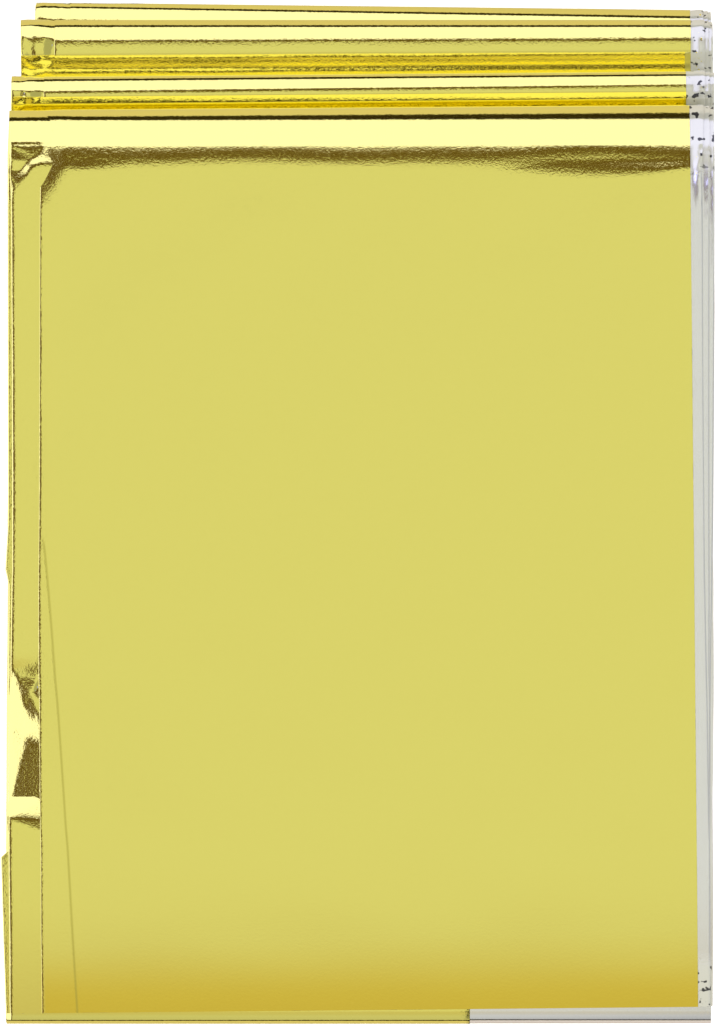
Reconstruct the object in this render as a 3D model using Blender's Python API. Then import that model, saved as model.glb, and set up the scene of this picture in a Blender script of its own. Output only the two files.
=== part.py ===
"""Emergency foil blanket, 1.60 x 2.10 m, folded into a hand-sized pack that lies flat.

The sheet is folded back and forth twice. Across its width it makes sixteen plies, one on
another, which form a flat strip. The strip is folded back and forth along its length into
sixteen runs. The pack is one solid: the strip's outline, carried along the folded path.

Frame: X across the pack, Y along it towards the staggered folds, Z up.
The origin is the centre of the pack's box, on the surface that the pack lies on.
"""

from collections import namedtuple

import bpy
import numpy as np

MM = 0.001

# The strip is sixteen plies of film with the air between them.
STRIP_THICK = 1.0 * MM
PLY_STEP = 0.1 * MM  # the step down where an outer ply stops short
LAST_PLY_EDGE = 16.2 * MM  # the last ply is a part width, and ends at this X
AIR_GAP = 0.3 * MM  # between two runs where they lie together
PITCH = STRIP_THICK + AIR_GAP

# Each row is a line where the strip ends or turns back, from its free end on top to its
# free end underneath. y is how far it reaches, counted from the pack's lower end, and skew
# is how much further its right end reaches than its middle. rise is the height between the
# middles of the two runs that it joins. bend is 1 for a round fold, and more for a fold
# that is blunt at its tip and eases into its runs. left and right are the strip's long
# edges there, and step and free are the edges of its narrower first ply. In millimetres.
Turn = namedtuple("Turn", "name y skew rise bend left step free right")
TURNS = (
    Turn("top_end", 1.8, 0.5, 0.0, 0.0, -51.1, -46.0, 49.5, 51.7),
    Turn("upper_fold_1", 133.3, 0.1, 6.8, 2.9, -51.0, -46.0, 48.1, 51.6),
    Turn("lower_fold_1", 0.0, 0.0, 2.0, 1.6, -51.8, -46.5, 49.6, 51.5),
    Turn("upper_fold_2", 138.2, 0.3, 2.6, 2.2, -50.8, -46.0, 47.7, 51.6),
    Turn("lower_fold_2", 5.0, 0.0, 1.6, 1.2, -50.2, -45.2, 48.0, 51.5),
    Turn("upper_fold_3", 146.1, 0.2, 3.2, 2.2, -49.4, -44.4, 48.5, 51.6),
    Turn("lower_fold_3", 13.0, 0.1, 1.5, 1.1, -48.4, -43.2, 48.5, 51.4),
    Turn("upper_fold_4", 148.3, -0.1, 3.0, 2.2, -47.2, -42.1, 48.4, 51.3),
    Turn("lower_fold_4", 16.3, 0.0, 1.4, 1.0, -46.8, -41.8, 48.2, 51.1),
    Turn("upper_fold_5", 147.3, 0.1, 1.5, 1.0, -46.6, -41.6, 48.0, 51.0),
    Turn("lower_fold_5", 17.6, -0.2, 1.4, 1.0, -46.7, -41.7, 48.0, 51.0),
    Turn("upper_fold_6", 145.8, -0.1, 1.4, 1.0, -46.3, -41.3, 47.8, 50.8),
    Turn("lower_fold_6", 18.8, 0.1, 1.4, 1.0, -46.5, -41.5, 47.9, 50.9),
    Turn("upper_fold_7", 144.4, 0.2, 1.3, 1.0, -46.2, -41.2, 47.7, 50.7),
    Turn("lower_fold_7", 17.4, 0.0, 1.3, 1.0, -46.4, -41.4, 47.8, 50.8),
    Turn("upper_fold_8", 142.9, 0.1, 1.3, 1.0, -46.1, -41.1, 47.6, 50.6),
    Turn("bottom_end", 15.9, -0.1, 0.0, 0.0, -46.4, -41.4, 47.8, 50.7),
)
RUNS = len(TURNS) - 1
EDGES = ("left", "step", "free", "right")
PACK_LENGTH = max(turn.y for turn in TURNS) * MM

# The upper runs overhang the lower ones at the lower end, and droop there.
DROOP_SHARE = 0.05
DROOP_LENGTH = 24.0 * MM

RUN_SEGMENTS = 8
FOLD_SEGMENTS = 12

FOIL_GOLD = (0.86, 0.76, 0.20, 1.0)
FOIL_ROUGHNESS = 0.18


def run_heights():
    """Each run's middle height at the pack's lower end and upper end, top run first.

    Two runs stand a fold's rise apart at the end where that fold joins them, and one pitch
    apart at the other end.
    """
    lower = [STRIP_THICK / 2]
    upper = [STRIP_THICK / 2]
    for turn in reversed(TURNS[1:-1]):
        at_lower_end = turn.name.startswith("lower")
        lower.append(lower[-1] + (turn.rise * MM if at_lower_end else PITCH))
        upper.append(upper[-1] + (PITCH if at_lower_end else turn.rise * MM))
    return lower[::-1], upper[::-1]


LOWER_HEIGHTS, UPPER_HEIGHTS = run_heights()


def run_height(run, y):
    """The middle of a run at y: a straight line between its ends, less the droop."""
    low, high = LOWER_HEIGHTS[run], UPPER_HEIGHTS[run]
    above_base = low + (high - low) * y / PACK_LENGTH - LOWER_HEIGHTS[-1]
    overhang = np.clip((DROOP_LENGTH - y) / DROOP_LENGTH, 0, 1)
    return LOWER_HEIGHTS[-1] + above_base * (1 - DROOP_SHARE * overhang**2)


def fold_curve(bend):
    """Half of a fold, from where it leaves its run to its tip, for a rise of 2.

    The slope grows from 0 to a right angle as the given power of the way along. Returns
    the distance ahead of the start, and the height above the tip, which starts at 1.
    """
    along = np.linspace(0, 1, 401)
    slope = np.pi / 2 * along**bend
    middle_slope = (slope[1:] + slope[:-1]) / 2
    ahead = np.concatenate([[0], np.cumsum(np.cos(middle_slope))])
    drop = np.concatenate([[0], np.cumsum(np.sin(middle_slope))])
    stations = np.linspace(0, 1, FOLD_SEGMENTS // 2 + 1) ** (1 / bend)
    return (np.interp(stations, along, ahead / drop[-1]),
            np.interp(stations, along, 1 - drop / drop[-1]))


def nose_length(turn):
    """How far a fold's curve reaches ahead of its runs' straight parts."""
    return fold_curve(turn.bend)[0][-1] * turn.rise * MM / 2 if turn.rise else 0.0


def path():
    """The strip's middle line, as (y, z) points, and each point's place among the turns.

    The place is a number that is whole at each turn, so a value for any point can be read
    between the rows of the table.
    """
    points, places = [], []
    for run in range(RUNS):
        start, end = TURNS[run], TURNS[run + 1]
        towards = 1 if end.y > start.y else -1
        start_tip = start.y * MM + (STRIP_THICK / 2 * towards if start.rise else 0)
        end_tip = end.y * MM - (STRIP_THICK / 2 * towards if end.rise else 0)
        first = start_tip + nose_length(start) * towards
        last = end_tip - nose_length(end) * towards
        for share in (1 - np.cos(np.linspace(0, np.pi, RUN_SEGMENTS + 1))) / 2:
            y = first + (last - first) * share
            points.append((y, run_height(run, y)))
            places.append(run + (y - start_tip) / (end_tip - start_tip))
        if not end.rise:
            continue
        ahead, level = fold_curve(end.bend)
        ahead = np.concatenate([ahead, ahead[-2::-1]])[1:-1]
        level = np.concatenate([level, -level[-2::-1]])[1:-1]
        for forward, side in zip(ahead / ahead.max(), level):
            y = last + (end_tip - last) * forward
            upper, lower = run_height(run, y), run_height(run + 1, y)
            points.append((y, (upper + lower) / 2 + (upper - lower) / 2 * side))
            places.append(run + 1 - np.sign(side) * abs((end_tip - y) / (end_tip - start_tip)))
    return np.array(points), np.array(places)


def outline(left, step, free, right):
    """The strip's outline, as (x, height) corners, with its first ply's face on top."""
    top = STRIP_THICK / 2
    under_first = top - PLY_STEP
    above_last = -top + PLY_STEP
    return np.array([
        (left, -top),
        (LAST_PLY_EDGE, -top),
        (LAST_PLY_EDGE, above_last),
        (right, above_last),
        (right, under_first),
        (free, under_first),
        (free, top),
        (step, top),
        (step, under_first),
        (left, under_first),
    ])


def blanket_mesh():
    """The outline carried along the path, with a flat face at each free end."""
    points, places = path()
    steps = np.diff(points, axis=0)
    ahead = np.concatenate([steps[:1], steps[1:] + steps[:-1], steps[-1:]])
    ahead /= np.linalg.norm(ahead, axis=1)[:, None]
    face_y, face_z = -ahead[:, 1], ahead[:, 0]

    def along(column):
        return np.interp(places, range(len(TURNS)), [getattr(t, column) * MM for t in TURNS])

    edges = np.column_stack([along(name) for name in EDGES])
    skews = along("skew")
    half_width = max(turn.right for turn in TURNS) * MM
    rings = []
    for row, (y, z) in enumerate(points):
        x, height = outline(*edges[row]).T
        ring_y = y + face_y[row] * height + skews[row] * x / half_width
        rings.append(np.column_stack([x, ring_y, z + face_z[row] * height]))
    vertices = np.concatenate(rings)
    low, high = vertices.min(axis=0), vertices.max(axis=0)
    vertices -= ((low[0] + high[0]) / 2, (low[1] + high[1]) / 2, low[2])

    corners = len(rings[0])
    last_ring = len(vertices) - corners
    faces = [list(range(corners)), [last_ring + i for i in reversed(range(corners))]]
    for ring_start in range(0, last_ring, corners):
        for i in range(corners):
            here, beside = ring_start + i, ring_start + (i + 1) % corners
            faces.append([beside, here, here + corners, beside + corners])
    mesh = bpy.data.meshes.new("blanket")
    mesh.from_pydata(vertices.tolist(), [], faces)
    return mesh


def foil_material():
    """Metallised film, seen on its gold side."""
    material = bpy.data.materials.new("gold_foil")
    material.use_nodes = True
    shader = material.node_tree.nodes["Principled BSDF"]
    shader.inputs["Base Color"].default_value = FOIL_GOLD
    shader.inputs["Metallic"].default_value = 1.0
    shader.inputs["Roughness"].default_value = FOIL_ROUGHNESS
    return material


def main():
    for old in list(bpy.data.objects):
        bpy.data.objects.remove(old)
    mesh = blanket_mesh()
    mesh.materials.append(foil_material())
    mesh.shade_smooth()
    mesh.set_sharp_from_angle(angle=np.radians(35))
    blanket = bpy.data.objects.new("blanket", mesh)
    bpy.context.scene.collection.objects.link(blanket)


main()
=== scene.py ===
import math

import bpy
import numpy as np
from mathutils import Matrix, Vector
from mathutils.geometry import delaunay_2d_cdt


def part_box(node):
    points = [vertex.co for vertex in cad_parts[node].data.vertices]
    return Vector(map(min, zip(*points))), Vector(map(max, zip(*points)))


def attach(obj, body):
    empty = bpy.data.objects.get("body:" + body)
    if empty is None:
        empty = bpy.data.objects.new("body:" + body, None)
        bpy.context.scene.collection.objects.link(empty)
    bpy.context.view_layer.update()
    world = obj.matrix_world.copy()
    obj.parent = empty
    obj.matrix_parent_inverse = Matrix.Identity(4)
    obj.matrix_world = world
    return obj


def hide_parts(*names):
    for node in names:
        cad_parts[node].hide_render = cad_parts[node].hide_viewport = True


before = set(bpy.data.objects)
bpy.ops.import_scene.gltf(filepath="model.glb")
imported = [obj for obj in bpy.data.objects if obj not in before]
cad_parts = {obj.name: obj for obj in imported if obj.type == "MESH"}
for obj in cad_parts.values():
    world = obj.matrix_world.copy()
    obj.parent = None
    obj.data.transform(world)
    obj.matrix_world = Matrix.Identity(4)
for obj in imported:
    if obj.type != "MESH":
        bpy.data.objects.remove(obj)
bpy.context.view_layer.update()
packLow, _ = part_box("blanket")

mm = 0.001

# Everything about the sheet is in millimetres here: x across the pack, y from its lower end, z up.

strip = {
    "plies": 16,
    "thick": 1.0,  # sixteen plies and their air
    "airGap": 0.3,  # between two runs where they touch
    "topGaps": 0.05,  # under the first and second ply, which lie closer
    "film": 0.012,
    "plyWidth": 97.0,  # for the mesh's columns
    "plyUnroll": 0.1,  # the share of the flat map's u that a ply takes
    "sag": 0.10,  # of the plies under the first, between their ends
    "sagFrom": 46.0,
    "sagFade": 8.0,
    "lastPlyEdge": 16.2,
    "droopShare": 0.05,
    "droopLength": 24.0,
    "flat": (1.60, 2.10),  # metres
}
fineSteps = {"spread": 3001, "fold": 2001, "face": 6001}  # for the curves that are summed up

# Where the strip ends or turns back, from the free end on top to the one underneath: how far it
# reaches, how its fold line leans, the rise between its two runs, the fold's bend, the rows of mesh
# round its upper half (none where its face is given further down) and its lower half, then the
# strip's left edge, its first ply's left and free edges and the strip's right edge there.
turnColumns = (
    "reach", "skew", "rise", "bend", "upperRows", "lowerRows", "left", "step", "free", "right",
)
turnRows = [
    (1.8, 0.5, 0.0, 1.0, 0, 0, -51.1, -46.0, 49.5, 51.7),
    (133.35, 0.38, 6.8, 2.9, 0, 12, -51.0, -46.1, 48.1, 51.8),
    (-0.35, 0.0, 2.0, 1.6, 12, 6, -51.8, -46.5, 49.6, 51.5),
    (138.45, 0.42, 2.6, 2.2, 0, 8, -50.9, -46.0, 47.7, 51.9),
    (5.0, 0.0, 1.6, 1.2, 5, 4, -50.2, -45.2, 48.0, 51.5),
    (146.4, 0.0, 3.2, 2.2, 0, 8, -49.6, -44.5, 48.5, 51.9),
    (13.0, 0.1, 1.5, 1.1, 5, 4, -48.4, -43.2, 48.5, 51.4),
    (148.57, -0.59, 3.0, 2.2, 0, 8, -47.5, -42.3, 48.5, 51.8),
    (16.3, 0.0, 1.4, 1.0, 5, 4, -46.8, -41.8, 48.2, 51.1),
    (147.3, 0.1, 1.5, 1.0, 5, 4, -46.6, -41.6, 48.0, 51.0),
    (17.6, -0.2, 1.4, 1.0, 5, 4, -46.7, -41.7, 48.0, 51.0),
    (145.8, -0.1, 1.4, 1.0, 5, 4, -46.3, -41.3, 47.8, 50.8),
    (18.8, 0.1, 1.4, 1.0, 5, 4, -46.5, -41.5, 47.9, 50.9),
    (144.4, 0.2, 1.3, 1.0, 5, 4, -46.2, -41.2, 47.7, 50.7),
    (17.4, 0.0, 1.3, 1.0, 5, 4, -46.4, -41.4, 47.8, 50.8),
    (142.9, 0.1, 1.3, 1.0, 5, 4, -46.1, -41.1, 47.6, 50.6),
    (15.9, -0.1, 0.0, 1.0, 0, 0, -46.4, -41.4, 47.8, 50.7),
]
turns = {name: np.array(column, float) for name, column in zip(turnColumns, zip(*turnRows))}
runCount = len(turnRows) - 1
packLength = turns["reach"].max()
halfWidth = turns["right"].max()
shiftX = packLow[0] / mm - turns["left"].min()  # from the table's zero to the frame's
shiftY = packLow[1] / mm

# Rows of mesh along each run: how many, and where they stand closer (middle, half length, times).
runRows = {
    "front": (118, [(39.5, 13.5, 5.0), (119.0, 7.0, 4.0), (4.0, 5.0, 3.0)]),
    "hidden": (5, [(0.0, 8.0, 2.0), (148.0, 8.0, 2.0)]),
}

# The outer face of the four folds that show, by turn: its slope in degrees at distances from the
# fold's tip, at the pack's left and right edge, and the rows of mesh along it.
shownFolds = {
    1: (60, [
        (0.00, 0.00, -90.0),
        (0.12, 0.15, -60.0),
        (0.95, 1.05, -45.5),
        (1.08, 1.18, -44.2),
        (1.60, 2.15, -38.5),
        (2.00, 2.60, -31.0),
        (5.43, 6.05, -0.1),
        (7.75, 8.40, 2.05),
        (9.00, 9.70, 3.55),
    ]),
    3: (52, [
        (0.00, 0.00, -90.0),
        (0.08, 0.08, -60.0),
        (0.38, 0.40, -45.5),
        (0.46, 0.48, -44.0),
        (0.85, 0.80, -38.5),
        (1.10, 1.05, -28.0),
        (2.20, 1.90, -0.1),
        (2.50, 2.18, 2.1),
        (2.95, 2.95, 4.5),
        (3.08, 3.06, 16.0),
        (3.20, 3.18, 19.0),
        (3.38, 3.36, 18.0),
        (3.60, 3.55, 13.0),
        (3.95, 3.88, 11.0),
        (4.10, 4.00, 12.0),
        (4.20, 4.08, 21.0),
        (4.45, 4.32, 23.0),
        (4.60, 4.46, 27.0),
        (4.95, 4.80, 29.0),
        (5.40, 5.25, 20.0),
        (6.10, 6.00, 5.0),
        (7.00, 7.00, -1.7),
        (30.0, 30.0, -1.5),
        (36.0, 36.0, 1.7),
    ]),
    5: (60, [
        (0.00, 0.00, -90.0),
        (0.10, 0.10, -60.0),
        (0.70, 0.70, -45.5),
        (0.78, 0.78, -44.0),
        (1.12, 1.12, -38.5),
        (1.45, 1.40, -28.0),
        (2.85, 2.50, -0.1),
        (3.20, 2.85, 2.1),
        (5.05, 4.45, 4.5),
        (5.25, 4.65, 26.0),
        (5.50, 4.90, 27.0),
        (5.66, 5.02, 29.0),
        (5.94, 5.28, 27.6),
        (6.20, 5.54, 22.5),
        (6.60, 5.95, 19.5),
        (6.82, 6.15, 20.9),
        (7.02, 6.34, 19.2),
        (7.20, 6.52, 13.5),
        (7.60, 6.92, 9.5),
        (7.75, 7.07, 9.2),
        (7.90, 7.22, 8.0),
        (8.20, 7.52, 9.0),
        (9.50, 9.50, 4.0),
        (11.0, 11.0, -2.2),
        (36.0, 36.0, -1.8),
        (44.0, 44.0, 1.8),
    ]),
    7: (34, [
        (0.00, 0.00, -90.0),
        (0.06, 0.10, -60.0),
        (0.42, 0.90, -45.5),
        (0.48, 0.98, -44.0),
        (0.85, 1.30, -38.5),
        (1.10, 1.80, -28.0),
        (2.00, 3.40, -0.1),
        (2.30, 3.80, 2.1),
        (8.00, 8.00, 4.0),
        (11.0, 11.0, -0.8),
        (30.0, 30.0, -0.5),
        (34.0, 34.0, 0.66),
    ]),
}


rowsPerTurn = 9  # mm of level face that count as much as a radian of bend when rows are shared out


def spread(count, low, high, zones):
    # Positions from low to high, at even steps of the summed density. That is 1, and in each zone
    # 1 plus (times less 1) over (1 plus the eighth power of the distance over the half length).
    fine = np.linspace(low, high, fineSteps["spread"])
    density = np.ones_like(fine)
    for middle, half, times in zones:
        density = np.maximum(density, 1 + (times - 1) / (1 + ((fine - middle) / half) ** 8))
    amount = np.append(0, np.cumsum((density[1:] + density[:-1]) / 2))
    return np.interp(np.linspace(0, amount[-1], count + 1), amount, fine)


def foldHalf(bend, lead, count):
    # Half a fold, from level to upright: its slope is a right angle times a mix of the square root of
    # the way along it and a power of that way. Gives the share ahead, the share of the height left, and
    # length over height.
    way = np.linspace(0, 1, fineSteps["fold"])
    slope = np.pi / 2 * (lead * np.sqrt(way) + (1 - lead) * way**bend)
    middle = (slope[1:] + slope[:-1]) / 2
    ahead = np.append(0, np.cumsum(np.cos(middle)))
    drop = np.append(0, np.cumsum(np.sin(middle)))
    station = np.interp(np.linspace(0, 1, count + 1), (slope / slope[-1] + way) / 2, way)
    return (
        np.interp(station, way, ahead / ahead[-1]),
        np.interp(station, way, 1 - drop / drop[-1]),
        ahead[-1] / drop[-1],
    )


def shownHalf(turn, side):
    # The upper half of a fold that shows, from its run to its tip, as distance from the tip and height
    # over it of the strip's middle. The slope changes evenly along the face between its rows, whose
    # length is the turn over the sines' difference. The middle lies half a thickness in from the face.
    count, rows = shownFolds[turn]
    left, right, degrees = (np.array(column) for column in zip(*rows))
    away = left if side < 0 else right
    slope = np.radians(degrees)
    turned = np.diff(slope)
    curved = turned / (np.diff(np.sin(slope)) + 1e-12)
    level = np.where(abs(turned) < 1e-6, 1 / np.cos(slope[1:]), curved)
    along = np.append(0, np.cumsum(np.diff(away) * level))
    fine = np.linspace(0, along[-1], fineSteps["face"])
    slopes = np.interp(fine, along, slope)
    middle = (slopes[1:] + slopes[:-1]) / 2
    step = fine[1]
    back = np.append(0, np.cumsum(np.cos(middle))) * step
    rise = np.append(0, np.cumsum(-np.sin(middle))) * step
    weight = np.append(0, np.cumsum(abs(np.diff(slopes)) * rowsPerTurn + step))
    station = np.interp(np.linspace(weight[-1], 0, count + 1), weight, fine)
    half = strip["thick"] / 2
    slopes, back, rise = (np.interp(station, fine, values) for values in (slopes, back, rise))
    return back - half * np.sin(slopes), rise - half * np.cos(slopes)


def runLevels():
    # Each run's height at the lower and upper end: a rise apart where a fold joins them, else the
    # thickness and the air gap.
    pitch = strip["thick"] + strip["airGap"]
    rises = turns["rise"][1:-1][::-1]
    atLower = (np.arange(1, runCount) % 2 == 0)[::-1]
    lower = strip["thick"] / 2 + np.append(0, np.cumsum(np.where(atLower, rises, pitch)))
    upper = strip["thick"] / 2 + np.append(0, np.cumsum(np.where(atLower, pitch, rises)))
    return lower[::-1], upper[::-1]


lowerLevels, upperLevels = runLevels()


def runHeight(run, y):
    # A run's middle: a straight line between its ends, less a droop that grows as a square towards
    # the lower end.
    base = lowerLevels[-1]
    above = lowerLevels[run] + (upperLevels[run] - lowerLevels[run]) * y / packLength - base
    overhang = np.clip((strip["droopLength"] - y) / strip["droopLength"], 0, 1)
    return base + above * (1 - strip["droopShare"] * overhang**2)


def stripPath(side):
    # The strip's middle line at the pack's left or right edge: each run straight, each fold a mix of its
    # two runs by the fold's curve, or its shown face. place is whole at each turn, so that the table's
    # columns can be read between its rows.
    ys, zs, places = [], [], []
    half = strip["thick"] / 2
    reach = turns["reach"] + side * turns["skew"]
    lowerStart = None
    for run in range(runCount):
        forward = 1 if reach[run + 1] > reach[run] else -1
        ends = ((run, -forward), (run + 1, forward))
        tips = [reach[end] - way * half * (turns["rise"][end] > 0) for end, way in ends]
        start = tips[0] if lowerStart is None else lowerStart
        t = run + 1
        if t in shownFolds:
            away, up = shownHalf(t, side)
            end = reach[t] - away[0]
        else:
            ratio = foldHalf(turns["bend"][t], 0.0, 4)[2]
            end = tips[1] - forward * ratio * turns["rise"][t] / 2
        count, zones = runRows["front" if run == 0 else "hidden"]
        y = spread(count, min(start, end), max(start, end), zones)[::forward]
        ys.append(y)
        zs.append(runHeight(run, y))
        places.append(run + (y - tips[0]) / (tips[1] - tips[0]))
        if run == runCount - 1:
            break
        if t in shownFolds:
            y = reach[t] - away[1:]
            z = runHeight(run, end) - up[0] + up[1:]
        else:
            ahead, level, _ = foldHalf(turns["bend"][t], 0.0, int(turns["upperRows"][t]))
            y = end + (tips[1] - end) * ahead[1:]
            top, bottom = runHeight(run, y), runHeight(run + 1, y)
            z = (top + bottom) / 2 + (top - bottom) / 2 * level[1:]
        ys.append(y)
        zs.append(z)
        places.append(t - abs((tips[1] - y) / (tips[1] - tips[0])))
        tipHeight = z[-1]
        ahead, level, ratio = foldHalf(turns["bend"][t], 0.0, int(turns["lowerRows"][t]))
        drop = tipHeight - runHeight(run + 1, tips[1])
        lowerStart = tips[1] - forward * ratio * drop
        y = (lowerStart + (tips[1] - lowerStart) * ahead)[::-1][1:-1]
        bottom = runHeight(run + 1, y)
        z = bottom + (tipHeight - bottom) * (1 - level[::-1][1:-1])
        ys.append(y)
        zs.append(z)
        places.append(t + abs((tips[1] - y) / (tips[1] - tips[0])))
    return (np.concatenate(part) for part in (ys, zs, places))


def bothPaths():
    # The middle line at both edges, with its way along and its place.
    left, right = tuple(stripPath(-1)), tuple(stripPath(1))
    arc = np.append(0, np.cumsum(np.hypot(np.diff(left[0]), np.diff(left[1]))))
    place = (left[2] + right[2]) / 2
    return {"y": (left[0], right[0]), "z": (left[1], right[1]), "place": place, "arc": arc}


path = bothPaths()
print("path:", len(path["arc"]), "rows,", round(path["arc"][-1]), "mm long")


def acrossPath(name, x):
    # The path's y or z for every row at the given x: an even change from the left edge to the right.
    share = (x + halfWidth) / (2 * halfWidth)
    left, right = path[name]
    return left[:, None] * (1 - share) + right[:, None] * share


# The folds along the strip's two edges, in the order in which the sheet makes them: the bend and lead
# of the upper ply's curve, and the columns of mesh round its upper and lower half.
edgeFolds = [(60.0, 0.030, 9, 2), (30.0, 0.045, 7, 2), (50.0, 0.035, 8, 2)]
edgeFolds += [(16.0, 0.06, 5, 1)] * 3 + [(1.5, 0.0, 1, 1)] * 9

# Columns of mesh across each ply, and where they stand closer, measured from its left end.
plyColumns = [
    (31, [(2.0, 3.0, 3.0), (95.0, 2.5, 4.0)]),
    (13, [(95.8, 2.0, 60.0)]),
    (24, [(2.2, 3.2, 60.0)]),
    (12, [(96.5, 1.2, 60.0), (2.2, 3.2, 30.0)]),
    (3, [(2.0, 4.0, 20.0)]),
    (7, [(96.5, 1.2, 60.0)]),
] + [(1, [])] * 9 + [(4, [(0.0, 2.0, 30.0)])]

# The long edges of the upper plies along the front run, by the height up the pack: the folds at the
# left (first to third) and those at the right, where they differ from the table.
frontEdgeColumns = ("up", "left1", "left2", "left3", "right1", "right2", "right3")
frontEdgeRows = [
    (0.0, -46.3, -50.9, -51.5, 51.1, 51.25, 51.4),
    (3.3, -46.3, -51.0, -51.6, 51.2, 51.30, 51.5),
    (14.0, -46.4, -51.0, -51.9, 51.2, 51.30, 51.4),
    (25.0, -46.4, -51.1, -52.2, 51.2, 51.25, 51.3),
    (25.6, -46.4, -51.1, -51.0, 51.2, 51.25, 51.3),
    (29.3, -46.5, -51.1, -51.4, 51.1, 51.20, 51.3),
    (47.0, -46.6, -51.0, -51.3, 50.8, 51.20, 51.3),
    (51.1, -46.7, -50.8, -51.1, 50.7, 51.10, 51.3),
    (64.4, -46.7, -50.6, -51.0, 50.4, 51.10, 51.5),
    (64.9, -46.7, -50.5, -51.6, 50.4, 51.10, 51.5),
    (73.3, -46.6, -50.5, -51.1, 50.3, 51.05, 51.6),
    (95.0, -46.5, -50.5, -51.1, 50.1, 51.00, 51.7),
    (119.0, -46.4, -50.6, -51.1, 50.0, 51.00, 51.7),
    (125.0, -46.3, -50.8, -51.1, 49.9, 51.00, 51.7),
    (133.3, -46.1, -51.0, -51.1, 50.0, 51.00, 51.6),
]
frontEdges = {name: np.array(column) for name, column in zip(frontEdgeColumns, zip(*frontEdgeRows))}


# How far each fold wanders in from the table's edge, from the outermost ply down: the size of the
# wander and a fixed inset, with a seed for each side. On the front run the given edges take over.
wander = {
    "lefts": [0.3, 0.7, 0.7, 0.7, 0.7, 0.7, 0.7],
    "rights": [0.4] * 7,
    "rightInsets": [1.2, 0.6, 0.0, 0.0, 0.0, 0.0, 0.0],
    "leftSeed": 11,
    "rightSeed": 40,
    "sines": 4,
    "shortest": 18.0,
    "longest": 140.0,
    "frontEnd": 1.05,
    "frontFade": 0.1,
}


def wobble(seed, size):
    # A slow random wander along the path: the mean of some sines of random length and phase, moved
    # and scaled to run from 0 to size.
    draw = np.random.default_rng(seed)
    lengths = draw.uniform(wander["shortest"], wander["longest"], wander["sines"])
    phases = draw.uniform(0, 2 * np.pi, wander["sines"])
    sines = np.sin(path["arc"][:, None] * 2 * np.pi / lengths + phases).sum(axis=1)
    return size * (0.5 + sines / (2 * wander["sines"]))


def edgeLines():
    # The x of each fold along both edges for every row: the table's edge, moved inwards by its own
    # wander and inset, and mixed on the front run with the edges given for it.
    turnPlaces = np.arange(runCount + 1)
    edgeNames = ("left", "step", "free", "right")
    along = {name: np.interp(path["place"], turnPlaces, turns[name]) for name in edgeNames}
    lefts, rights = [along["step"]], [along["free"]]
    for fold, size in enumerate(wander["lefts"]):
        lefts.append(along["left"] + wobble(wander["leftSeed"] + fold, size))
    for fold, (size, inset) in enumerate(zip(wander["rights"], wander["rightInsets"])):
        rights.append(along["right"] - (wobble(wander["rightSeed"] + fold, size) + inset))
    rights.append(np.full_like(path["arc"], strip["lastPlyEdge"]))
    onFront = np.clip((wander["frontEnd"] - path["place"]) / wander["frontFade"], 0, 1)
    up = (path["y"][0] + path["y"][1]) / 2
    for name in frontEdgeColumns[1:]:
        edges = lefts if name.startswith("left") else rights
        index = int(name[-1]) - (edges is lefts)
        given = np.interp(up, frontEdges["up"], frontEdges[name])
        edges[index] = edges[index] * (1 - onFront) + given * onFront
    return np.column_stack(lefts), np.column_stack(rights)


def acrossColumns():
    # The columns from the first ply's free edge to the last ply's: for each, its ply, the share of the
    # way from the ply's left edge to its right one, a shift in x, and its height in the strip. A
    # fold between two plies is the fold's curve above, as long as its ratio says, and a quarter
    # circle below.
    lastPly = strip["plies"] - 1
    gaps = np.full(lastPly, strip["topGaps"])
    gaps[2:] = (strip["thick"] - gaps[:2].sum()) / (lastPly - 2)
    levels = strip["thick"] / 2 - np.append(0, np.cumsum(gaps))
    noses = [foldHalf(bend, lead, 4)[2] * gap / 2 for (bend, lead, *_), gap in zip(edgeFolds, gaps)]
    plies, shares, shifts, heights = [], [], [], []
    for ply in range(strip["plies"]):
        goesLeft = ply % 2 == 0
        noseBefore = (levels[ply - 1] - levels[ply]) / 2 if ply else 0.0
        noseAfter = noses[ply] if ply < lastPly else 0.0
        leftNose, rightNose = (noseAfter, noseBefore) if goesLeft else (noseBefore, noseAfter)
        count, zones = plyColumns[ply]
        share = spread(count, 0, strip["plyWidth"], zones) / strip["plyWidth"]
        share = share[::-1] if goesLeft else share
        plies.append(np.full(len(share), ply))
        shares.append(share)
        shifts.append(leftNose * (1 - share) - rightNose * share)
        heights.append(np.full(len(share), levels[ply]))
        if ply == lastPly:
            break
        bend, lead, upperColumns, lowerColumns = edgeFolds[ply]
        middle = (levels[ply] + levels[ply + 1]) / 2
        half = (levels[ply] - levels[ply + 1]) / 2
        inward = 1 if goesLeft else -1
        ahead, level, _ = foldHalf(bend, lead, upperColumns)
        plies.append(np.full(upperColumns, ply))
        shares.append(np.full(upperColumns, 0.0 if goesLeft else 1.0))
        shifts.append(inward * noses[ply] * (1 - ahead[1:]))
        heights.append(middle + half * level[1:])
        angle = np.linspace(0, np.pi / 2, lowerColumns + 2)[1:-1]
        plies.append(np.full(lowerColumns, ply + 1))
        shares.append(np.full(lowerColumns, 0.0 if goesLeft else 1.0))
        shifts.append(inward * half * (1 - np.cos(angle)))
        heights.append(middle - half * np.sin(angle))
    names = ("ply", "share", "shift", "height")
    return {name: np.concatenate(part) for name, part in zip(names, (plies, shares, shifts, heights))}


columns = acrossColumns()
pointCount = len(columns["ply"]) * len(path["arc"])
print("plies:", len(columns["ply"]), "columns,", pointCount, "points a face")


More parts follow.
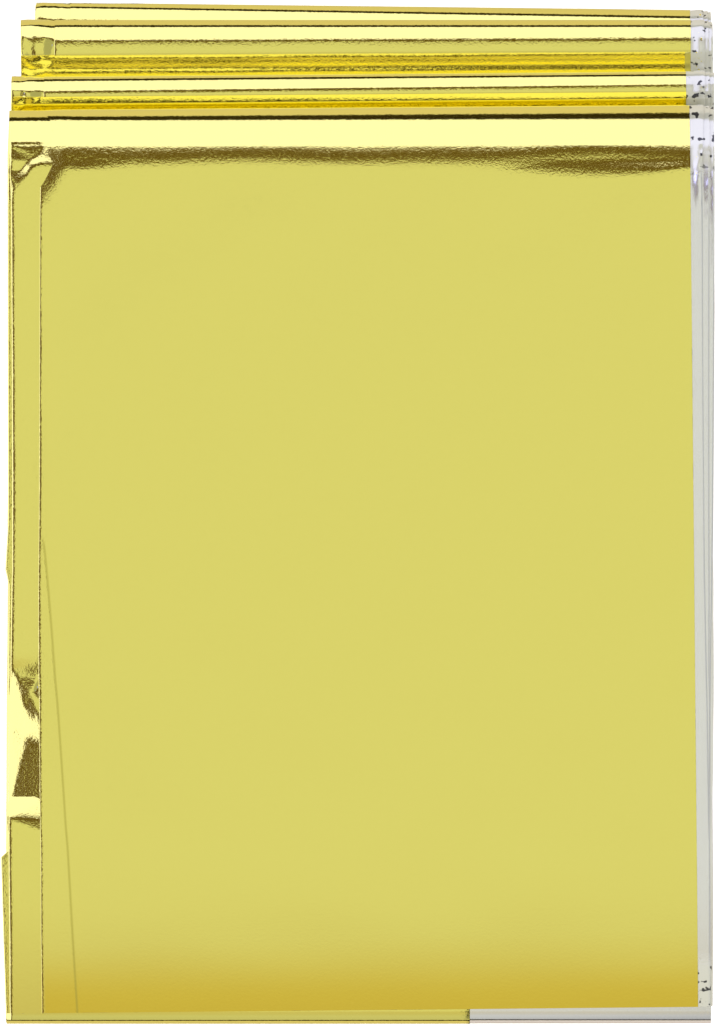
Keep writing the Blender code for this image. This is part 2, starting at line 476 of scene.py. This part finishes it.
# Crumpled patches: flat facets between listed corners (x, height up the pack, relief), on the run and
# the plies given. soft is how far their creases are rounded.
patchMargin = {"run": 0.52, "corner": 1.0}  # how far a patch is worked out, in runs and in mm
patches = [
    {  # the first ply's upper left corner, and a shallow dent beside it
        "run": 0,
        "plies": (0, 1),
        "soft": 0.12,
        "corners": [
            (-47.5, 136.0, 0.00), (-46.0, 131.0, -0.16), (-41.8, 131.0, 0.00), (-36.0, 131.0, 0.00),
            (-47.5, 128.9, -0.22), (-46.0, 128.9, -0.20), (-41.8, 128.9, 0.00), (-40.3, 128.9, -0.07),
            (-38.0, 128.9, -0.05), (-37.1, 128.9, 0.00),
            (-47.5, 125.5, -0.22), (-46.0, 125.5, -0.20), (-41.8, 125.5, 0.00), (-40.1, 125.5, -0.08),
            (-38.0, 125.5, -0.06), (-37.1, 125.5, 0.00), (-39.5, 123.2, 0.00),
            (-47.5, 119.1, -0.02), (-45.6, 119.1, 0.00),
        ],
    },
    {  # where the first ply's rounding runs wider, at the right
        "run": 0,
        "plies": (0, 15),
        "soft": 0.4,
        "corners": [
            (19.1, 131.0, 0.00), (51.0, 131.0, 0.00),
            (19.1, 128.9, 0.00), (27.1, 128.9, -0.05), (35.1, 128.9, -0.06), (43.1, 128.9, -0.05),
            (48.2, 128.9, -0.02), (19.1, 125.4, 0.00), (27.1, 125.5, -0.07), (35.1, 125.5, -0.09),
            (43.1, 125.5, -0.07), (48.2, 125.5, -0.03), (20.5, 124.2, 0.00), (27.1, 123.2, 0.00),
            (35.1, 123.1, 0.00), (43.1, 123.8, 0.00), (48.2, 124.7, 0.00),
        ],
    },
    {  # the left margin's upper corner
        "run": 0,
        "plies": (2, 15),
        "soft": 0.06,
        "corners": [
            (-52.3, 134.0, 0.00), (-46.3, 134.0, 0.00), (-40.6, 134.0, 0.00),
            (-52.3, 129.4, 0.00), (-46.3, 129.4, 0.00), (-40.6, 129.4, 0.00),
            (-52.3, 129.0, -0.12), (-46.2, 129.0, -0.08), (-40.6, 129.0, 0.00),
            (-52.3, 128.4, -0.07), (-50.6, 128.4, 0.035), (-46.2, 128.4, 0.035), (-45.9, 128.4, -0.05),
            (-52.3, 127.9, -0.13), (-50.6, 127.9, -0.035), (-46.2, 127.9, -0.035), (-45.9, 127.9, -0.08),
            (-52.3, 127.3, -0.18), (-50.6, 127.3, -0.08), (-46.0, 127.3, -0.08), (-40.6, 127.3, 0.00),
            (-52.3, 125.5, -0.18), (-50.6, 125.5, -0.08), (-48.2, 125.3, -0.08), (-47.0, 126.0, -0.07),
            (-46.0, 126.2, -0.06), (-46.2, 125.2, 0.00), (-47.2, 124.9, 0.00), (-40.6, 125.2, 0.00),
            (-52.3, 124.6, -0.18), (-50.8, 124.4, -0.12), (-49.8, 123.7, -0.12), (-48.9, 124.4, -0.12),
            (-51.1, 123.6, -0.045), (-49.8, 122.9, -0.045), (-48.7, 123.7, -0.04),
            (-52.3, 123.3, -0.12), (-50.5, 122.4, -0.045),
            (-51.2, 121.5, -0.045), (-52.3, 121.5, -0.12),
            (-48.0, 123.9, 0.00), (-49.0, 122.5, 0.00), (-50.3, 120.6, 0.00), (-51.0, 119.3, 0.00),
            (-52.3, 119.2, -0.02), (-52.3, 118.5, 0.00), (-46.3, 118.5, 0.00), (-40.6, 118.5, 0.00),
        ],
    },
    {  # the left margin's crushed stretch, a third of the way up
        "run": 0,
        "plies": (2, 15),
        "soft": 0.06,
        "corners": [
            (-52.3, 53.2, 0.00), (-50.3, 53.2, 0.00), (-46.4, 53.2, 0.00), (-43.3, 53.2, 0.00),
            (-52.3, 51.2, -0.23), (-50.3, 51.2, -0.19), (-46.4, 50.4, -0.10), (-46.4, 49.5, -0.21),
            (-43.3, 50.4, 0.00),
            (-47.8, 48.0, 0.03), (-49.3, 47.5, -0.03), (-50.9, 47.5, -0.18), (-52.3, 47.5, -0.30),
            (-46.4, 47.0, 0.02),
            (-52.3, 45.6, -0.41), (-50.9, 45.6, -0.29), (-48.6, 45.6, -0.08), (-47.0, 45.6, 0.00),
            (-46.4, 45.6, 0.01),
            (-52.3, 43.8, -0.56), (-50.9, 43.8, -0.44), (-47.5, 43.8, -0.13), (-46.4, 43.8, -0.04),
            (-46.4, 41.6, -0.21), (-48.6, 41.6, -0.40),
            (-52.3, 41.2, -0.73), (-50.9, 41.2, -0.61), (-48.6, 41.2, -0.41), (-46.4, 41.2, -0.30),
            (-43.3, 41.2, -0.10),
            (-52.3, 37.0, -0.77), (-50.9, 37.0, -0.66), (-49.66, 37.0, -0.542),
            (-52.3, 32.9, -0.79), (-50.7, 32.9, -0.68), (-46.4, 32.9, -0.475), (-43.3, 32.9, -0.10),
            (-52.3, 30.5, -0.10), (-50.5, 30.4, -0.08), (-46.4, 29.8, -0.13),
            (-52.3, 29.3, 0.00), (-50.5, 29.3, 0.00), (-46.4, 27.7, 0.00), (-43.3, 27.7, 0.00),
        ],
    },
    {  # the flattened end of the third fold down
        "run": 4,
        "plies": (2, 15),
        "soft": 0.08,
        "corners": [
            (-51.0, 146.0, 0.00), (-44.8, 146.0, 0.00), (-44.2, 146.0, 0.00),
            (-51.0, 145.1, 0.30), (-48.6, 144.95, 0.38), (-45.4, 144.3, 0.14), (-44.5, 144.3, 0.00),
            (-51.0, 144.2, 0.16), (-48.6, 144.1, 0.16), (-46.0, 143.7, 0.06), (-44.5, 143.6, 0.00),
            (-51.0, 143.5, 0.06), (-48.6, 143.3, 0.03), (-44.9, 142.9, 0.00),
            (-47.6, 140.8, 0.02), (-45.4, 140.9, -0.06), (-51.0, 140.6, 0.05),
            (-51.0, 139.6, 0.00), (-44.5, 139.6, 0.00),
        ],
    },
    {  # the flattened end of the second fold down
        "run": 2,
        "plies": (2, 15),
        "soft": 0.08,
        "corners": [
            (-52.0, 137.5, 0.00), (-46.3, 137.5, 0.00), (-45.8, 137.5, 0.00),
            (-52.0, 136.8, 0.18), (-49.5, 136.6, 0.16), (-46.6, 136.3, 0.03), (-45.9, 136.3, 0.00),
            (-52.0, 136.1, 0.08), (-49.5, 135.9, 0.06), (-46.6, 135.7, 0.00),
            (-52.0, 134.8, 0.02), (-49.8, 134.9, -0.05), (-48.4, 134.9, 0.02), (-46.3, 134.9, -0.04),
            (-52.0, 133.6, 0.00), (-49.3, 133.2, 0.05), (-47.2, 133.2, -0.03), (-46.0, 133.4, 0.00),
            (-52.0, 132.4, 0.00), (-46.0, 132.4, 0.00),
        ],
    },
]

# Crumpled ends of the strip, by run and ply: between the two x given they grow to full depth, and
# between the two heights up the pack.
crumpleColumns = ("runs", "ply", "xStart", "xFull", "upStart", "upFull", "wave", "depth", "seed")
crumpleRows = [
    ((0,), 1, 48.4, 49.4, 117.0, 123.0, 1.0, 0.16, 5),
    ((0,), 3, 50.3, 50.8, 112.0, 122.0, 1.0, 0.13, 5),
    ((0,), 5, 51.2, 51.5, 100.0, 122.0, 1.0, 0.13, 5),
    ((2, 4, 6), 1, 48.7, 49.6, 120.0, 124.0, 1.0, 0.20, 6),
    ((2, 4, 6), 3, 50.6, 51.0, 120.0, 124.0, 1.0, 0.15, 6),
    ((2, 4, 6), 5, 51.2, 51.5, 120.0, 124.0, 1.0, 0.15, 6),
    ((2,), 2, -46.3, -47.3, 120.0, 124.0, 1.9, 0.22, 4),
    ((4,), 2, -44.8, -45.8, 120.0, 124.0, 2.1, 0.22, 2),
    ((6,), 2, -42.6, -43.4, 120.0, 124.0, 1.6, 0.18, 9),
]
crumples = [dict(zip(crumpleColumns, row)) for row in crumpleRows]
crumpled = {"planes": 6, "shortest": 0.6, "least": 0.25}  # shares of the wave and of the depth

# Slow waves over every ply: how many, their lengths, the slope of each, how far a run moves them on
# and, in runs, how far from a turn they fade out.
waves = {
    "count": 9,
    "shortest": 9.0,
    "longest": 34.0,
    "slope": 0.0026,
    "perRun": 0.37,
    "fade": 0.1,
    "seed": 21,
}


def patchHeight(patch, x, y):
    # The relief of a patch: flat triangles between its corners, nothing outside them. The mean of five
    # samples rounds the creases.
    corners = np.array(patch["corners"])
    flat = [Vector(corner[:2]) for corner in patch["corners"]]
    facets = delaunay_2d_cdt(flat, [], [], 0, 1e-4)[2]
    total = np.zeros_like(x)
    for asideX, asideY in ((0, 0), (1, 0), (-1, 0), (0, 1), (0, -1)):
        px, py = x + asideX * patch["soft"], y + asideY * patch["soft"]
        height = np.zeros_like(x)
        for facet in facets:
            (ax, ay, ah), (bx, by, bh), (cx, cy, ch) = corners[list(facet)]
            area = (bx - ax) * (cy - ay) - (cx - ax) * (by - ay)
            shareB = ((px - ax) * (cy - ay) - (cx - ax) * (py - ay)) / area
            shareC = ((bx - ax) * (py - ay) - (px - ax) * (by - ay)) / area
            inside = (shareB >= 0) & (shareC >= 0) & (shareB + shareC <= 1)
            height[inside] = (ah + shareB * (bh - ah) + shareC * (ch - ah))[inside]
        total += height / 5
    return total


def crumpleHeight(crumple, x, y):
    # The height of a crumple: its depth, by the mean of some triangle waves, each in its own direction
    # and length, and by how far the point lies between the two x and the two heights.
    draw = np.random.default_rng(crumple["seed"])
    depth = np.zeros_like(x)
    for turn, share, phase in draw.uniform(0, 1, (crumpled["planes"], 3)):
        angle = np.pi * turn
        length = crumple["wave"] * (crumpled["shortest"] + share)
        way = (x * np.cos(angle) + y * np.sin(angle)) / length + phase
        depth += abs(way % 1 - 0.5) * 2 / crumpled["planes"]
    reachX = np.clip((x - crumple["xStart"]) / (crumple["xFull"] - crumple["xStart"]), 0, 1)
    reachY = np.clip((y - crumple["upStart"]) / (crumple["upFull"] - crumple["upStart"]), 0, 1)
    least = crumpled["least"]
    return crumple["depth"] * (least + (1 - least) * depth) * reachX * reachY


def slowWaves(x, y, place):
    # The sum of plane sine waves in random directions, each with its own length and a height of its
    # slope times that length over a full turn, moved on from run to run.
    draw = np.random.default_rng(waves["seed"])
    height = np.zeros_like(x)
    for turn, share, phase in draw.uniform(0, 1, (waves["count"], 3)):
        length = waves["shortest"] + (waves["longest"] - waves["shortest"]) * share
        angle = np.pi * turn
        way = (x * np.cos(angle) + y * np.sin(angle)) / length + phase
        way += np.floor(place) * waves["perRun"]
        height += np.sin(2 * np.pi * way) * waves["slope"] * length / (2 * np.pi)
    return height


def surfaceRelief(x, y, place, ply):
    # How far the sheet stands off the strip's own form: the sum of the slow waves, the crumpled
    # patches and the crumpled ends, less the sag of the plies under the first, times a share that
    # falls evenly to nearly nothing at the last ply.
    x, y, place, ply = np.broadcast_arrays(x, y, place, ply)
    fade = np.clip(abs(place - np.round(place)) / waves["fade"], 0, 1)
    relief = slowWaves(x, y, place) * fade
    for patch in patches:
        low = np.min(patch["corners"], axis=0) - patchMargin["corner"]
        high = np.max(patch["corners"], axis=0) + patchMargin["corner"]
        on = abs(place - patch["run"] - 0.5) < patchMargin["run"]
        on &= (ply >= patch["plies"][0]) & (ply <= patch["plies"][1])
        on &= (x > low[0]) & (x < high[0]) & (y > low[1]) & (y < high[1])
        relief[on] += patchHeight(patch, x[on], y[on])
    for crumple in crumples:
        on = np.isin(np.floor(place), crumple["runs"]) & (ply == crumple["ply"])
        relief[on] += crumpleHeight(crumple, x[on], y[on])
    relief -= strip["sag"] * np.clip((strip["sagFrom"] - abs(x)) / strip["sagFade"], 0, 1) * (ply > 0)
    return relief * (1 - ply / strip["plies"])


def sheetPoints():
    # Every point of the sheet's middle: its x by its ply's two edges, its place along and up by the
    # strip's middle line and the height along that line's normal.
    lefts, rights = edgeLines()
    leftX = lefts[:, columns["ply"] // 2]
    rightX = rights[:, (columns["ply"] + 1) // 2]
    x = leftX * (1 - columns["share"]) + rightX * columns["share"] + columns["shift"]
    y, z = acrossPath("y", x), acrossPath("z", x)
    slopeY, slopeZ = np.gradient(y, axis=0), np.gradient(z, axis=0)
    length = np.hypot(slopeY, slopeZ)
    height = columns["height"] + surfaceRelief(x, y, path["place"][:, None], columns["ply"][None, :])
    return np.stack([x, y - slopeZ / length * height, z + slopeY / length * height], axis=2)


# Where the strip is crushed, and the silver face painted with shade, in mm along it from the folds that
# show and, on the upper plies, from its free end: nothing beyond the reach, growing to whole over the
# fade.
crushedReach = {"fold": 11.0, "foldFade": 3.0, "end": 7.5, "endFade": 2.0, "endPlies": 6}


def crushedShare():
    # How crushed each point is, from 0 to 1, and so how much painted shade the silver face takes there:
    # the larger of how far it is inside the two reaches, each over its fade.
    reach = crushedReach
    turnArc = np.interp(list(shownFolds), path["place"], path["arc"])
    away = abs(path["arc"][:, None] - turnArc).min(axis=1)
    nearFold = np.clip((reach["fold"] - away) / reach["foldFade"], 0, 1)[:, None]
    nearEnd = np.clip((reach["end"] - path["arc"]) / reach["endFade"], 0, 1)[:, None]
    nearEnd = nearEnd * (columns["ply"] < reach["endPlies"])
    return np.maximum(np.broadcast_to(nearFold, nearEnd.shape), nearEnd)


def faceMesh(name, points, side):
    # One face of the film: the middle surface moved half the film's thickness along its normal, the
    # cross product of its two directions, and not at all on its four rims, where the faces meet.
    alongRows = np.gradient(points, axis=0)
    alongColumns = np.gradient(points, axis=1)
    normal = np.cross(alongRows, alongColumns)
    normal /= np.linalg.norm(normal, axis=2)[:, :, None] + 1e-12
    inside = np.zeros(points.shape[:2])
    inside[1:-1, 1:-1] = strip["film"] / 2
    moved = points + side * normal * inside[:, :, None]
    rows, count = points.shape[:2]
    vertices = moved.reshape(-1, 3) * mm
    vertices += np.array([shiftX * mm, shiftY * mm, 0.0])
    first = (np.arange(rows - 1)[:, None] * count + np.arange(count - 1)).ravel()
    quads = np.column_stack([first, first + 1, first + count + 1, first + count])
    if side > 0:
        quads = quads[:, ::-1]
    mesh = bpy.data.meshes.new(name)
    mesh.vertices.add(len(vertices))
    mesh.vertices.foreach_set("co", vertices.ravel())
    mesh.loops.add(quads.size)
    mesh.loops.foreach_set("vertex_index", quads.ravel().astype(np.int32))
    mesh.polygons.add(len(quads))
    mesh.polygons.foreach_set("loop_start", np.arange(0, quads.size, 4, dtype=np.int32))
    mesh.polygons.foreach_set("loop_total", np.full(len(quads), 4, dtype=np.int32))
    mesh.update(calc_edges=True)
    uv = mesh.uv_layers.new(name="flat")
    acrossPly = np.abs(columns["share"] - (columns["ply"] % 2 == 0))
    flatU = (columns["ply"] + acrossPly) * strip["plyUnroll"]
    flatV = path["arc"][:, None] * mm
    uvs = np.stack(np.broadcast_arrays(flatU, flatV), axis=2).reshape(-1, 2)[quads.ravel()]
    uv.data.foreach_set("uv", uvs.ravel())
    mesh.polygons.foreach_set("use_smooth", np.ones(len(quads), dtype=bool))
    # the crushed share, which sets how much painted shade the silver face takes
    crushedShadeLayer = mesh.attributes.new("crushed", "FLOAT", "POINT")
    crushedShadeLayer.data.foreach_set("value", crushedShare().astype(np.float32).ravel())
    piece = bpy.data.objects.new(name, mesh)
    bpy.context.scene.collection.objects.link(piece)
    return piece


class Wire:
    # A socket of a node tree, with the sums that are used on it: each adds a Math node.
    def __init__(self, tree, socket):
        self.tree, self.socket = tree, socket

    def node(self, kind, settings=None, inputs=None):
        return addNode(self.tree, kind, settings, inputs)

    def sum(self, operation, *values):
        made = self.node("ShaderNodeMath", {"operation": operation}, dict(enumerate(values)))
        return Wire(self.tree, made.outputs[0])

    def __add__(self, other):
        return self.sum("ADD", self, other)

    def __sub__(self, other):
        return self.sum("SUBTRACT", self, other)

    def __rsub__(self, other):
        return self.sum("SUBTRACT", other, self)

    def __mul__(self, other):
        return self.sum("MULTIPLY", self, other)

    def over(self, edge, soft):
        # 0 below the edge and 1 above it, smoothly over soft.
        made = self.node(
            "ShaderNodeMapRange",
            {"interpolation_type": "SMOOTHSTEP"},
            {"Value": self, "From Min": edge - soft / 2, "From Max": edge + soft / 2},
        )
        return Wire(self.tree, made.outputs[0])

    __radd__, __rmul__ = __add__, __mul__


def addNode(tree, kind, settings=None, inputs=None):
    # A node with its settings and then its inputs: a Wire is linked, a value is set on its socket.
    made = tree.nodes.new(kind)
    for name, value in (settings or {}).items():
        if name == "stops":
            ramp = made.color_ramp
            while len(ramp.elements) < len(value):
                ramp.elements.new(0.5)
            for element, (place, colour) in zip(ramp.elements, value):
                element.position = place
                element.color = (*colour, 1.0)
        else:
            setattr(made, name, value)
    for name, value in (inputs or {}).items():
        socket = made.inputs[name]
        if isinstance(value, Wire):
            tree.links.new(value.socket, socket)
        else:
            socket.default_value = value
    return made


def mixColours(tree, amount, first, second):
    # The first colour times (1 less the amount), plus the second times the amount. Sockets 6 and 7
    # of the node are its two colours, and its third output is the mixed one.
    first, second = (value if isinstance(value, Wire) else (*value, 1.0) for value in (first, second))
    made = addNode(tree, "ShaderNodeMix", {"data_type": "RGBA"}, {0: amount, 6: first, 7: second})
    return Wire(tree, made.outputs[2])


# The bumps' heights and widths and the places along the flat sheet are in metres.
goldFilm = {
    "colour": (0.92, 0.85, 0.21),
    "roughness": 0.07,
    "haze": 0.04,
    "grainScale": 4600.0,
    "grainHeight": 0.0000036,
    "waveScale": 2600.0,
    "waveHeight": 0.0000045,
    "lowEnd": (0.90, 0.73, 0.10),
    "lowEndMiddle": 0.006,
    "lowEndSoft": 0.009,
    "plySoft": 0.0001,
    "creaseTop": 0.0692,
    "creaseTopSoft": 0.002,
    "creaseLean": 0.0345,
    "creasePower": 0.75,
    "creaseWidth": 0.00030,
    "creaseHeight": 0.0000026,
    # painted shade: the darker colour of the line along the crease, and how far it is mixed in
    "creaseShadeColour": (0.62, 0.56, 0.11),
    "creaseShadeShare": 0.75,
}
silverFilm = {
    "colour": (0.90, 0.91, 0.88),
    # painted shade: the darker grey of the crushed ends
    "crushed": (0.66, 0.66, 0.57),
    "crushedDull": 0.6,
    # painted shade: dark marks that stand in for creases
    "creaseShadeMarks": (0.05, 0.05, 0.05),
    "shadeMarkScale": 780.0,
    "shadeMarkOver": 0.62,
    "shadeMarkSoft": 0.04,
    "roughness": 0.13,
    "haze": 0.04,
    "grainScale": 3300.0,
    "grainHeight": 0.000003,
    "waveScale": 700.0,
    "waveHeight": 0.000004,
}


def noise(tree, place, scale, detail):
    # A cloudy noise from 0 to 1, with its features the given scale to the metre.
    inputs = {"Vector": place, "Scale": scale, "Detail": detail}
    return Wire(tree, addNode(tree, "ShaderNodeTexNoise", {}, inputs).outputs[0])


def goldEndAndCreaseShade(tree, film, relief):
    # The first ply's colour and relief: a deeper colour that grows towards its free end, and one long
    # crease. The crease is a small step, with a darker line along it painted as its shade, where the
    # distance from the ply's left fold is a lean times a power of the distance below the crease's top.
    # Gives colour and relief.
    flat = Wire(tree, addNode(tree, "ShaderNodeUVMap", {"uv_map": "flat"}).outputs[0])
    parts = addNode(tree, "ShaderNodeSeparateXYZ", {}, {0: flat})
    u, v = (Wire(tree, socket) for socket in parts.outputs[:2])
    ply, width = strip["plyUnroll"], film["creaseWidth"]
    first = 1 - u.over(ply, film["plySoft"])
    low = (1 - v.over(film["lowEndMiddle"], film["lowEndSoft"])) * first
    colour = mixColours(tree, low, film["colour"], film["lowEnd"])
    fromFold = (ply - u) * (strip["plyWidth"] * mm / ply)
    underTop = film["creaseTop"] - v
    below = underTop.sum("MAXIMUM", underTop, 0.0)
    line = fromFold - below.sum("POWER", below, film["creasePower"]) * film["creaseLean"]
    onCrease = (1 - v.over(film["creaseTop"], film["creaseTopSoft"])) * first
    relief = relief + line.over(0.0, width) * onCrease * film["creaseHeight"]
    # painted shade: a darker line along the crease, beside its real bump step
    shade = line.over(0.0, width) * (1 - line.over(width, width)) * onCrease * film["creaseShadeShare"]
    return mixColours(tree, shade, colour, film["creaseShadeColour"]), relief


def crumpleShadeAndMetal(tree, film, place):
    # The crushed ends: a darker, duller colour by the crushed share, painted as the crumples' shade,
    # with sparse dark marks where a noise is high, painted as the shade of creases, and that much less
    # metal. Gives colour and metal.
    named = {"attribute_name": "crushed"}
    crushed = Wire(tree, addNode(tree, "ShaderNodeAttribute", named).outputs["Fac"])
    # painted shade: dark crease marks where the noise is high, over a darker grey on the crushed ends
    shadeMarkNoise = noise(tree, place, film["shadeMarkScale"], 2.0)
    creaseShadeMarks = shadeMarkNoise.over(film["shadeMarkOver"], film["shadeMarkSoft"]) * crushed
    colour = mixColours(tree, crushed, film["colour"], film["crushed"])
    return mixColours(tree, creaseShadeMarks, colour, film["creaseShadeMarks"]), 1 - crushed * film["crushedDull"]


def filmMaterial(name, film):
    # Metal film: the bump is the sum of a fine grain and slow waves, each a noise times its height,
    # and the roughness is its mean plus a haze times the waves' noise less a half.
    material = bpy.data.materials.new(name)
    material.use_nodes = True
    material.use_backface_culling = True
    tree = material.node_tree
    shader = tree.nodes["Principled BSDF"]
    shader.inputs["Metallic"].default_value = 1.0
    place = Wire(tree, addNode(tree, "ShaderNodeTexCoord").outputs["Object"])
    grain = noise(tree, place, film["grainScale"], 1.0)
    wave = noise(tree, place, film["waveScale"], 1.0)
    relief = grain * film["grainHeight"] + wave * film["waveHeight"]
    if film is goldFilm:
        colour, relief = goldEndAndCreaseShade(tree, film, relief)
    else:
        colour, metal = crumpleShadeAndMetal(tree, film, place)
        tree.links.new(metal.socket, shader.inputs["Metallic"])
    tree.links.new(colour.socket, shader.inputs["Base Color"])
    inputs = {"Strength": 1.0, "Distance": 1.0, "Height": relief}
    tree.links.new(addNode(tree, "ShaderNodeBump", {}, inputs).outputs[0], shader.inputs["Normal"])
    roughness = wave * film["haze"] + (film["roughness"] - film["haze"] / 2)
    tree.links.new(roughness.socket, shader.inputs["Roughness"])
    return material


points = sheetPoints()
faces = (
    ("blanketGoldFace", 1, "gold_foil", goldFilm),
    ("blanketSilverFace", -1, "silver_foil", silverFilm),
)
for name, side, slot, film in faces:
    piece = faceMesh(name, points, side)
    piece.data.materials.append(filmMaterial(slot, film))
    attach(piece, "root")
    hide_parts("blanket")
    print(name, "has", 2 * len(piece.data.polygons), "triangles")


studio = {
    "floorSize": 14.0,
    "floorColour": (0.88, 0.88, 0.88),
    # painted shade: the darker, warmer floor that only reflections see
    "floorMirroredShade": (0.60, 0.52, 0.46),
    "floorGlow": (0.5, 0.5, 0.5),  # for the camera alone, so that the floor looks white
    "sensor": 36.0,
    "farthest": 40.0,
    "cameraDistance": 2.2,
    "viewHeight": 0.14913,
    "viewPlane": 0.026,
    "viewCentre": (0.00005, 0.00025),
}

# What the film mirrors, by the direction in degrees from straight up: a card over the pack and behind
# its lower end, a dark gap along the card's far and left sides, and bright cloth beyond.
lights = {
    "bright": (1.30, 1.28, 2.05),
    "plain": (1.3, 1.3, 1.3),
    "dark": (0.13, 0.08, 0.014),
    "side": (0.45, 0.45, 0.46),
    "sideEdge": 6.0,
    "sideEdgeSoft": 3.0,
    "sideEnd": 22.0,
    "sideEndSoft": 6.0,
    "cardEdgeY": -2.6,
    "gapEdgeY": 1.8,
    "cardEdgeX": -4.5,
    "gapEdgeX": -8.0,
    "soft": 0.5,
    "horizon": (0.035, 0.025, 0.008),
    "horizonTop": 12.0,
    "horizonSoft": 3.0,
    "cardSpan": 90.0,
    "cardStops": [
        (0.0, (0.60, 0.58, 0.55)),
        (0.55, (0.66, 0.65, 0.62)),
        (0.70, (0.64, 0.60, 0.50)),
        (0.80, (0.66, 0.60, 0.46)),
        (0.87, (0.76, 0.75, 0.67)),
        (0.92, (0.77, 0.77, 0.70)),
        (1.0, (0.77, 0.77, 0.70)),
    ],
}


def studioWorld():
    # The world's colour by two angles of the direction in degrees: across is the arc sine of its x,
    # along is the arc tangent of its y over its z. Each later mix covers the ones before it: bright
    # cloth, the dark gap, the card by its ramp, its shaded side, the dark horizon, then plain light
    # for diffuse rays and white for the camera's.
    world = bpy.data.worlds.new("studio")
    bpy.context.scene.world = world
    world.use_nodes = True
    world.cycles.sampling_method = "NONE"  # its light comes by the rays themselves
    tree = world.node_tree
    tree.nodes.clear()
    direction = Wire(tree, addNode(tree, "ShaderNodeTexCoord").outputs["Generated"])
    parts = addNode(tree, "ShaderNodeSeparateXYZ", {}, {0: direction})
    dx, dy, dz = (Wire(tree, socket) for socket in parts.outputs)
    degrees = 180 / math.pi
    across = dx.sum("ARCSINE", dx) * degrees
    along = dy.sum("ARCTAN2", dy, dz) * degrees
    up = dz.sum("ARCSINE", dz) * degrees
    soft = lights["soft"]

    inGap = (1 - along.over(lights["gapEdgeY"], soft)) * across.over(lights["gapEdgeX"], soft)
    inCard = (1 - along.over(lights["cardEdgeY"], soft)) * across.over(lights["cardEdgeX"], soft)
    onSide = across.over(lights["sideEdge"], lights["sideEdgeSoft"])
    onSide = onSide * (1 - across.over(lights["sideEnd"], lights["sideEndSoft"])) * inCard
    atHorizon = 1 - up.over(lights["horizonTop"], lights["horizonSoft"])
    downCard = along * (1 / lights["cardSpan"]) + 1.0
    ramp = addNode(tree, "ShaderNodeValToRGB", {"stops": lights["cardStops"]}, {0: downCard})
    look = mixColours(tree, inGap, lights["bright"], lights["dark"])
    look = mixColours(tree, inCard, look, Wire(tree, ramp.outputs[0]))
    look = mixColours(tree, onSide, look, lights["side"])
    look = mixColours(tree, atHorizon, look, lights["horizon"])
    rays = addNode(tree, "ShaderNodeLightPath")
    look = mixColours(tree, Wire(tree, rays.outputs["Is Diffuse Ray"]), look, lights["plain"])
    look = mixColours(tree, Wire(tree, rays.outputs["Is Camera Ray"]), look, (1.0, 1.0, 1.0))
    back = addNode(tree, "ShaderNodeBackground", {}, {"Color": look, "Strength": 1.0})
    out = addNode(tree, "ShaderNodeOutputWorld")
    tree.links.new(back.outputs[0], out.inputs[0])


def studioFloor():
    # A square at the table's height. The camera sees its own colour with a glow, and every other ray a
    # darker, warmer colour, painted shade, which the film mirrors.
    half = studio["floorSize"] / 2
    corners = [(-half, -half, 0), (half, -half, 0), (half, half, 0), (-half, half, 0)]
    mesh = bpy.data.meshes.new("floor")
    mesh.from_pydata(corners, [], [(0, 1, 2, 3)])
    floor = bpy.data.objects.new("floor", mesh)
    bpy.context.scene.collection.objects.link(floor)
    material = bpy.data.materials.new("paleFloor")
    material.use_nodes = True
    tree = material.node_tree
    shader = tree.nodes["Principled BSDF"]
    seen = Wire(tree, addNode(tree, "ShaderNodeLightPath").outputs["Is Camera Ray"])
    colour = mixColours(tree, seen, studio["floorMirroredShade"], studio["floorColour"])
    tree.links.new(colour.socket, shader.inputs["Base Color"])
    glow = mixColours(tree, seen, (0.0, 0.0, 0.0), studio["floorGlow"])
    tree.links.new(glow.socket, shader.inputs["Emission Color"])
    shader.inputs["Emission Strength"].default_value = 1.0
    shader.inputs["Roughness"].default_value = 1.0
    shader.inputs["Specular IOR Level"].default_value = 0.0
    mesh.materials.append(material)


def studioCamera():
    # Straight above: the lens is the sensor times the distance over the height of what is in view at
    # the pack's upper surface.
    data = bpy.data.cameras.new("camera")
    data.sensor_width = studio["sensor"]
    data.lens = data.sensor_width * studio["cameraDistance"] / studio["viewHeight"]
    camera = bpy.data.objects.new("camera", data)
    x, y = studio["viewCentre"]
    camera.location = (x, y, studio["viewPlane"] + studio["cameraDistance"])
    data.clip_end = studio["farthest"]
    bpy.context.scene.collection.objects.link(camera)
    bpy.context.scene.camera = camera


studioWorld()
studioFloor()
studioCamera()
bpy.context.scene.view_settings.view_transform = "Standard"
print("studio ready")
